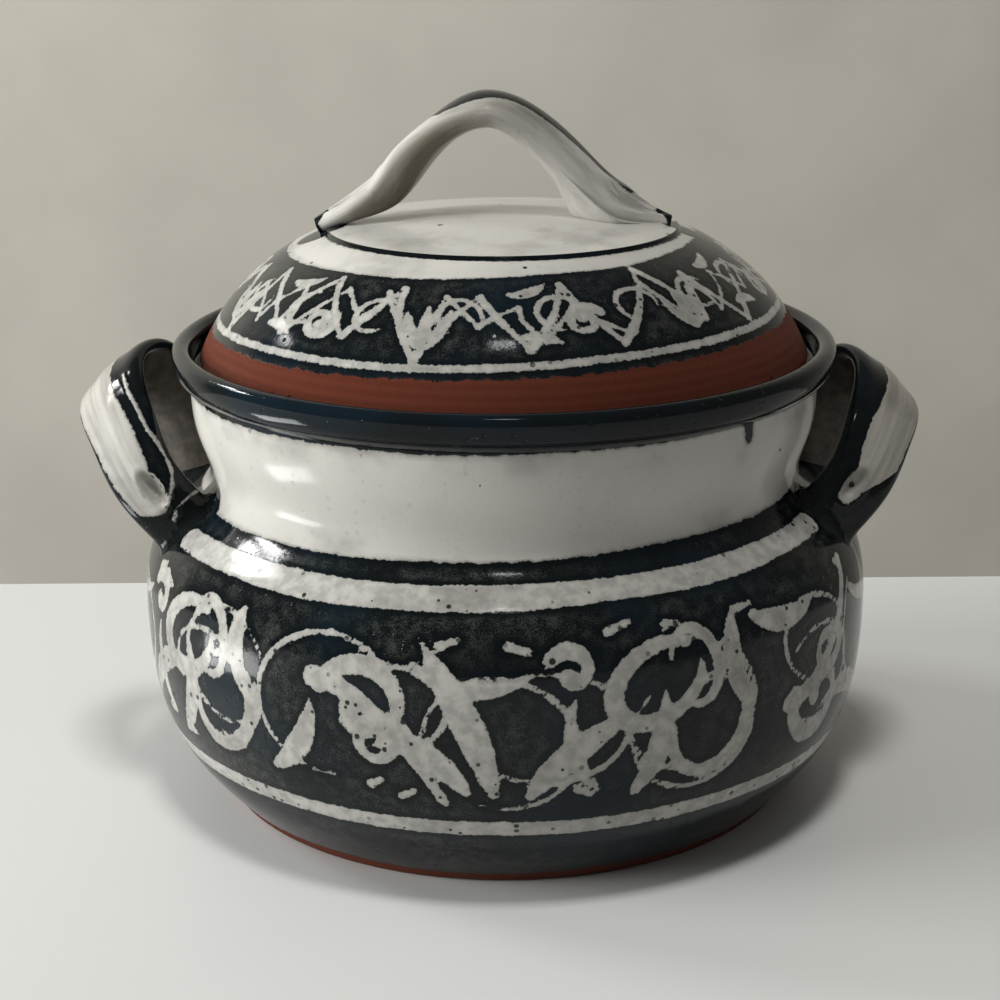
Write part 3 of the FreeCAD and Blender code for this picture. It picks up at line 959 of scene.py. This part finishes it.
def ear_dents(curve, ear):
    """The middle of each finger dent, with the directions along, across and out of the strap."""
    dents = []
    for s in (curve.knots[1] - ear["dent_shift"], curve.knots[-2] + ear["dent_shift"]):
        spot, direction = curve.at(s), curve.tangent(s)
        across, outward = ear_axes(spot, direction, ear)
        dents.append((spot + outward * DENT_OUT + across * ear["dent"], direction, across, outward))
    return dents


def fillet_rings(ring, wall, reach, steps=7):
    """Rings that spread a strap's end smoothly onto the wall and dive under it."""
    centre = sum(ring, Vector()) / len(ring)
    rings = []
    for k in range(1, steps + 1):
        turn = math.pi / 2 * k / steps
        spread = []
        for p in ring:
            foot, normal = wall.nearest(p)
            height = max(0.0, (p - foot).dot(normal))
            out = p - centre
            out = (out - normal * out.dot(normal)).normalized()
            spot, lift = wall.nearest(foot + out * (reach * (1 - math.cos(turn))))
            spread.append(spot + lift * (height * (1 - math.sin(turn)) - 0.35 * (k / steps) ** 3))
        rings.append(spread)
    return rings


def pull_ear(settings, ear, wall, mirror, points=112, stations=132):
    """An ear's skin with its paint, its painted shade and its white-painted highlight ridges, mirrored for
    the right side.
    """
    curve = ear_curve(ear)
    strap = Strap()
    wide, narrow = settings.ear_width / MM, settings.ear_root_width / MM
    thick, groove = settings.ear_thickness / MM, settings.groove / MM
    sink = settings.dent / MM * 2.2
    highlight_ridges = [[Vector(p) for p in line] for line in ear["highlight_ridges"]]
    dents = ear_dents(curve, ear)
    turns = [math.tau * EAR_ROLL * j / points for j in range(points)]
    for k in range(stations + 1):
        s = curve.length * k / stations
        spot, direction = curve.at(s), curve.tangent(s)
        across, outward = ear_axes(spot, direction, ear)
        share = max(0.0, (spot.z - EAR_ROOT_HEIGHT) / ear["rise"])
        width = narrow + (wide - narrow) * share ** 3
        thickness = EAR_ROOT_THICKNESS + (thick - EAR_ROOT_THICKNESS) * share
        bump = 2.4 * math.sin(math.pi * clamped((share - 0.25) / 0.7)) - 1.5 * (1 - share) ** 2
        border = width * (0.12 + 0.02 * math.sin(k * 0.11)) + bump
        row, paint, inner, cover = [], [], [], []
        for p, side, face in strap_ring(spot, across, outward, width, thickness, points, groove * share):
            mark = 9.0
            for centre, way, over, out in dents:
                off = p - centre
                far = math.hypot(off.dot(way) / DENT_HALF[0], off.dot(over) / DENT_HALF[1])
                if abs(off.dot(out)) < 6.0 and face > 0.0:
                    mark = min(mark, far)
            if mark < 1.7:
                p = p - outward * (sink * max(0.0, 1 - mark ** 2) - 0.5 * bell(mark - 1.16, 0.2))
            # Raised ridges: lifted out of the strap and painted white, a painted highlight along them.
            line = within(p, highlight_ridges) if face > 0 else OUTSIDE
            row.append(p + outward * (0.5 * bell(min(line - LINE_HALF, 0.0), 0.9)))
            reach = side * width / 2
            rim = reach + width * 0.455 - 2.2 * (1 - share) ** 2
            white = min(border - reach, rim) if face > -0.05 else OUTSIDE
            wedge = ear["wedge"] * max(0.0, 0.5 - reach) ** ear["power"]
            slant = ear["tip"] + wedge + 3.2 * max(0.0, reach + 0.5)
            white = min(white, s - slant, curve.length - s - slant)
            white = max(white, min((1.0 - mark) * 3.3, 1.6), line)
            paint.append(max(white, OUTSIDE))
            # Painted shade: the middle of a finger dent is greyed like thin white glaze, where the hollow
            # lies in shade.
            cover.append(min(max((mark - 0.75) / 0.3, 0.3), 1.0))
            inner.append((-face * thickness / 2 - 2.6) * 1.2)
        # Painted shade on the ear's white, growing from the share at the roots to the share at the apex.
        low, high = ear["smoke"]
        smoke = [low + (high - low) * share ** 4] * points
        strap.add(row, slip=paint, liner=inner, thick=cover, along=[s] * points, around=turns, smoke=smoke)
    for first, way in ((True, 0.0), (False, curve.length)):
        end = strap.rings[0 if first else -1]
        for ring in fillet_rings(end, wall, settings.fillet / MM):
            # The ridges' painted highlight runs on over the fillet.
            strap.add(
                ring, first, slip=[within(p, highlight_ridges) for p in ring], liner=[OUTSIDE] * points,
                thick=[1.0] * points, along=[way] * points, around=turns, smoke=[0.0] * points,
            )
    if mirror:
        strap.rings = [[Vector((-p.x, p.y, p.z)) for p in ring] for ring in strap.rings]
    return strap.skin()


class OBJECT_OT_pull_ears(bpy.types.Operator):
    """Pull the two side straps and smooth them onto the shoulder"""

    bl_idname = "object.pull_ears"
    bl_label = "Pull the ears"

    def execute(self, context):
        wall = Wall(Curve(JAR_WALL).spaced(2.5))
        settings, glaze = context.scene.jar_straps, context.scene.jar_glaze
        material = glaze_material("strap_glaze", glaze, liner=1.0, streaks=0.5, specks=0.25)
        for name, node, ear, mirror in (
            ("left_ear", "left_handle", LEFT_EAR, False),
            ("right_ear", "right_handle", RIGHT_EAR, True),
        ):
            placed(name, pull_ear(settings, ear, wall, mirror), material, "jar", node)
        return {"FINISHED"}


def lid_profile():
    """The lid's whole profile, from the middle of its crown out, round the seat and back underneath."""
    seat_out = (LID_EDGE[0] - LID_EDGE_ROUND, LID_SEAT)
    seat_in = (seat_out[0] - LID_SEAT_WIDTH, LID_SEAT)
    rim = (57.4, 189.95)
    hollow = (56.6, 182.8)
    crown = Curve([(0, CROWN_TOP), (24, CROWN_TOP - 0.75), (44, CROWN_TOP - 2.4), (55, 190.35), rim])
    return joined(
        crown.spaced(2.2),
        Curve([rim, CROWN_EDGE, (58.3, 189.1), LID_STEP]).spaced(0.35),
        arc_points(LID_STEP, LID_HAUNCH, LID_EDGE, 0.85),
        arc_points(LID_EDGE, (100.15, 146.25), seat_out, 0.7),
        line_points(seat_out, seat_in, 2.3),
        arc_points(seat_in, (82.0, 166.9), hollow, 3.0),
        Curve([hollow, (30, 186.5), (0, 187.6)]).spaced(5.0),
    )


def lid_paint(settings):
    """The lid's dome, and how far a point of it lies inside the white glaze and inside the bare clay."""
    dome = Wall(list(reversed(arc_points(LID_STEP, LID_HAUNCH, LID_EDGE, 0.5))))
    brush = paint_lid(settings, *[dome.way(height) for height in LID_PAINT], math.tau * LID_ROLL)

    def slip(p):
        angle = round(math.atan2(p.y, p.x), 5)
        reach = math.hypot(p.x, p.y)
        blot = min(math.hypot(p.x - x, p.y - y) - radius for x, y, radius in BLOTS)
        if reach < 57.6:
            return min(INSIDE, blot)
        if p.z > 188.6:
            return min(blot, max(OUTSIDE, 57.4 - reach, -0.6))
        level = min(max(p.z - tilted(1.5, p.x), 148.9), 188.6)
        way = dome.way(level)
        line = 58.9 + wobble(angle, 12, 0.7)
        ring = 1.25 - abs(way - dome.way(LID_RING + wobble(angle, 8, 0.4)))
        top = min(way - dome.way(LID_TOP_BAND + wobble(angle, 9, 0.5)), reach - line)
        return min(blot, max(ring, top, brush.distance(angle * LID_ROLL, way)))

    def bare(p):
        angle = round(math.atan2(p.y, p.x), 5)
        return LID_BARE + wobble(angle, 10, 0.7) - (p.z - tilted(1.4, p.x))

    return dome, slip, bare


class OBJECT_OT_throw_lid(bpy.types.Operator):
    """Throw the lid and paint its bands"""

    bl_idname = "object.throw_lid"
    bl_label = "Throw the lid"

    def execute(self, context):
        dome, slip, bare = lid_paint(context.scene.jar_paint)
        shell = spun(lid_profile())
        paint = shell.verts.layers.float.new("slip")
        thick = shell.verts.layers.float.new("thick")
        clay = shell.verts.layers.float.new("bare")
        for vert in shell.verts:
            p = vert.co / MM
            reach = math.hypot(p.x, p.y)
            crown = reach < 58.6 and p.z > 188.6
            upper = crown or (p.z >= LID_EDGE[1] and reach > dome.radius(min(p.z, 188.6)) - 1.5)
            vert[paint] = slip(p) if upper else 3.0
            vert[thick] = clamped(p.z - 183.5)
            vert[clay] = bare(p) if upper else INSIDE
        material = glaze_material("lid_glaze", context.scene.jar_glaze, bare=True)
        placed("thrown_lid", shell, material, "lid", "lid")
        return {"FINISHED"}


def pull_arch(points=112, stations=150):
    """The skin of the lid's strap handle, with its swiped feet, its paint and its painted shade."""
    curve = Curve([(x, 0.0, z) for x, z in ARCH_PATH])
    strap = Strap()
    turns = [math.tau * ARCH_ROLL * j / points for j in range(points)]
    along_y = Vector((0, 1, 0))
    for k in range(stations + 1):
        u = k / stations
        s = curve.length * u
        i, h = curve.span(s)
        share = (s - curve.knots[i]) / h
        share = share * share * (3 - 2 * share)
        width, thickness, leaning = [a + (b - a) * share for a, b in zip(*ARCH_SECTIONS[i:i + 2])]
        spot, direction = curve.at(s), curve.tangent(s)
        radial = direction.cross(along_y)
        radial = radial if radial.z > 0 else -radial
        angle = math.radians(ARCH_LEAN) * leaning
        across = along_y * math.cos(angle) + radial * math.sin(angle)
        outward = radial * math.cos(angle) - along_y * math.sin(angle)
        heel = sum(drop * bell(spot.x - x, 8.0) for x, drop in ARCH_HEELS)
        fade = clamped((u - 0.30) / 0.08) * clamped((0.97 - u) / 0.08)
        turned = clamped((u - 0.42) / 0.34)
        # Painted shade: over darkens the top of the arch, and rising darkens the left leg away from its
        # outer face.
        rising = clamped((u - 0.03) / 0.07) * clamped((0.62 - u) / 0.26)
        over = 0.42 * bell(u - 0.48, 0.14)
        row, paint, brown, smoke = [], [], [], []
        for p, side, face in strap_ring(spot, across, outward, width, thickness, points, 0.25 * leaning):
            if face < 0:
                p = p + outward * (heel * face)
            for middle, depth, lane in ARCH_SWIPES:
                far = math.hypot((u - middle) / 0.085, (side - lane) / 0.52)
                if face > 0:
                    p = p - outward * (depth * max(0.0, 1 - far ** 2))
                    p = p + outward * (0.5 * bell(far - 1.15, 0.25))
            crown = CROWN_TOP - CROWN_DOMING * (math.hypot(p.x, p.y) / CROWN_EDGE[0]) ** 2
            if math.hypot(p.x, p.y) < CROWN_EDGE[0] - 1:
                p.z = max(p.z, crown - 0.8)
            if face < 0.2 and side < 0:
                p.y += 3.0 * side * bell(spot.x - 38.0, 10.0)
            row.append(p)
            reach = side * width / 2
            rear = width * (0.48 * turned - 0.30) - reach + (1 - fade) * 14.0 if face > -0.6 else INSIDE
            tip = 3.2 + 2.2 * math.sin(3.0 * side + 1.0)
            paint.append(max(OUTSIDE, min(rear, s - tip, curve.length - tip - s)))
            left = math.hypot((u - 0.115) / 0.075, (side - 0.1) / 0.5)
            right = math.hypot((u - 0.895) / 0.07, side / 0.5)
            streak = 1.6 * math.sin(19.0 * side + 14.0 * u)
            brown.append((0.75 - min(left, right)) * 5.0 + streak if face > 0 else OUTSIDE)
            smoke.append(max(over, rising * clamped((0.85 - face) / 0.9)))
        plain = [1.0] * points
        strap.add(row, slip=paint, liner=brown, thick=plain, along=[s] * points, around=turns, smoke=smoke)
    return strap.skin()


class OBJECT_OT_pull_lid_handle(bpy.types.Operator):
    """Pull the strap that arches over the lid"""

    bl_idname = "object.pull_lid_handle"
    bl_label = "Pull the lid's handle"

    def execute(self, context):
        glaze = context.scene.jar_glaze
        material = glaze_material(
            "arch_glaze", glaze, liner=0.32, streaks=0.40, stretch=(0.045, 0.20), specks=0.25
        )
        placed("lid_arch", pull_arch(), material, "lid", "lid_handle")
        return {"FINISHED"}


# Stage


def area_lamp(name, place, target, size, power, tint):
    data = bpy.data.lights.new(name, "AREA")
    data.shape = "RECTANGLE"
    data.size, data.size_y = size
    data.energy = power
    data.color = tint
    lamp = bpy.data.objects.new(name, data)
    lamp.location = place
    lamp.rotation_euler = (Vector(target) - Vector(place)).to_track_quat("-Z", "Y").to_euler()
    bpy.context.collection.objects.link(lamp)
    return lamp


def stage_sheet(name, place, material):
    """A flat sheet of the stage, laid by a matrix."""
    sheet = bmesh.new()
    bmesh.ops.create_grid(sheet, x_segments=8, y_segments=8, size=1.0)
    bmesh.ops.transform(sheet, matrix=place, verts=sheet.verts)
    mesh = bpy.data.meshes.new(name)
    sheet.to_mesh(mesh)
    sheet.free()
    mesh.materials.append(material)
    laid = bpy.data.objects.new(name, mesh)
    bpy.context.collection.objects.link(laid)


def set_lights(settings):
    """The window and its glints in the glaze, the broad side light, the ceiling and the spot."""
    middle, shoulder, neck = (0.0, 0.0, 0.10), (-0.075, -0.074, 0.102), (-0.065, -0.081, 0.128)
    window, pane, glow = settings.window, settings.pane, settings.glow
    side, lamp, spot = settings.side, settings.lamp, settings.spot
    plain = (1.0, 1.0, 1.0)
    # Each lamp's name, place, aim, size, power, tint and spread, and the rays that don't see it.
    for name, place, aim, size, energy, tint, spread, unseen in (
        ("window", (-1.9, 0.72, 1.15), middle, (0.55, 0.75), window, (0.97, 0.99, 1.0), 180, "glossy"),
        ("pane_left", (-0.251, 0.012, 0.259), shoulder, (0.030, 0.061), pane, plain, 22, "diffuse"),
        ("pane_right", (-0.231, 0.045, 0.259), shoulder, (0.026, 0.050), pane * 0.7, plain, 22, "diffuse"),
        ("glow", (-0.238, -0.083, 0.030), neck, (0.085, 0.035), glow, plain, 180, "diffuse"),
        ("side", (-2.87, -0.56, 0.79), middle, (1.7, 1.3), side, (1.0, 1.0, 0.98), 180, "glossy"),
        ("ceiling", (0.12, -0.68, 2.95), middle, (0.45, 0.45), lamp, (1.0, 0.985, 0.95), 180, "glossy"),
        ("spot", (0.0, -0.50, 1.42), middle, (0.14, 0.08), spot, plain, 180, None),
    ):
        made = area_lamp(name, place, aim, size, energy, tint)
        made.data.spread = math.radians(spread)
        if unseen:
            setattr(made, "visible_" + unseen, False)


def light_world(settings):
    """A plain room, which a camera sees in the backdrop's colour."""
    world = bpy.data.worlds.new("room")
    bpy.context.scene.world = world
    sheet = Sheet(world)
    light = {"Color": (1.0, 0.985, 0.96, 1.0), "Strength": settings.ambient}
    room = sheet.node("ShaderNodeBackground", {}, light, "Background")
    shown = sheet.node("ShaderNodeBackground", {}, {"Color": (*settings.backdrop, 1.0)}, "Background")
    seen = sheet.node("ShaderNodeLightPath", {}, {}, "Is Camera Ray")
    both = sheet.node("ShaderNodeMixShader", {}, {0: seen, 1: room, 2: shown}, "Shader")
    sheet.node("ShaderNodeOutputWorld", {}, {"Surface": both})


def set_camera():
    pitch, roll = math.radians(CAMERA_PITCH), math.radians(CAMERA_ROLL)
    forward = Vector((0, math.cos(pitch), -math.sin(pitch)))
    up = Vector((0, math.sin(pitch), math.cos(pitch)))
    right = Vector((1, 0, 0))
    side = right * math.cos(roll) - up * math.sin(roll)
    top = right * math.sin(roll) + up * math.cos(roll)
    turn = Matrix((side, top, -forward)).transposed().to_4x4()
    camera = bpy.data.objects.new("camera", bpy.data.cameras.new("camera"))
    camera.data.lens = CAMERA_LENS
    camera.matrix_world = Matrix.Translation(CAMERA_PLACE) @ turn
    bpy.context.collection.objects.link(camera)
    bpy.context.scene.camera = camera


class OBJECT_OT_set_stage(bpy.types.Operator):
    """Set the table, the light and the camera"""

    bl_idname = "object.set_stage"
    bl_label = "Set the stage"

    def execute(self, context):
        settings = context.scene.jar_stage
        table = Matrix.Translation((0, -0.908, 0)) @ Matrix.Diagonal((1.6, 1.092, 1, 1))
        stage_sheet("table_top", table, plain_material("table_paint", settings.floor, 0.42, 0.02))
        wall = Matrix.Translation((0, 1.5, 0.4)) @ Matrix.Rotation(math.pi / 2, 4, "X")
        wall = wall @ Matrix.Diagonal((3.2, 1.7, 1, 1))
        stage_sheet("back_wall", wall, plain_material("wall_paint", settings.backdrop, 0.7, 0.10))
        set_lights(settings)
        light_world(settings)
        set_camera()
        context.scene.view_settings.view_transform = "Standard"
        return {"FINISHED"}


class VIEW3D_PT_cookie_jar(bpy.types.Panel):
    """The jar's settings and the steps that make it"""

    bl_idname = "VIEW3D_PT_cookie_jar"
    bl_label = "Cookie jar"
    bl_space_type = "VIEW_3D"
    bl_region_type = "UI"
    bl_category = "Cookie Jar"

    def draw(self, context):
        for name, group in GROUPS.items():
            box = self.layout.box()
            for key in group.__annotations__:
                box.prop(getattr(context.scene, name), key)
        for operator in OPERATORS:
            self.layout.operator(operator.bl_idname)


GROUPS = {
    "jar_glaze": GlazeSettings,
    "jar_paint": PaintSettings,
    "jar_straps": StrapSettings,
    "jar_stage": StageSettings,
}
OPERATORS = (
    OBJECT_OT_throw_jar,
    OBJECT_OT_pull_ears,
    OBJECT_OT_throw_lid,
    OBJECT_OT_pull_lid_handle,
    OBJECT_OT_set_stage,
)


def register():
    for cls in (*GROUPS.values(), *OPERATORS, VIEW3D_PT_cookie_jar):
        bpy.utils.register_class(cls)
    for name, group in GROUPS.items():
        setattr(bpy.types.Scene, name, PointerProperty(type=group))


def unregister():
    for name in GROUPS:
        delattr(bpy.types.Scene, name)
    for cls in reversed((*GROUPS.values(), *OPERATORS, VIEW3D_PT_cookie_jar)):
        bpy.utils.unregister_class(cls)


def main():
    register()
    bpy.ops.object.throw_jar()
    bpy.ops.object.pull_ears()
    bpy.ops.object.throw_lid()
    bpy.ops.object.pull_lid_handle()
    bpy.ops.object.set_stage()


if __name__ == "__main__":
    main()
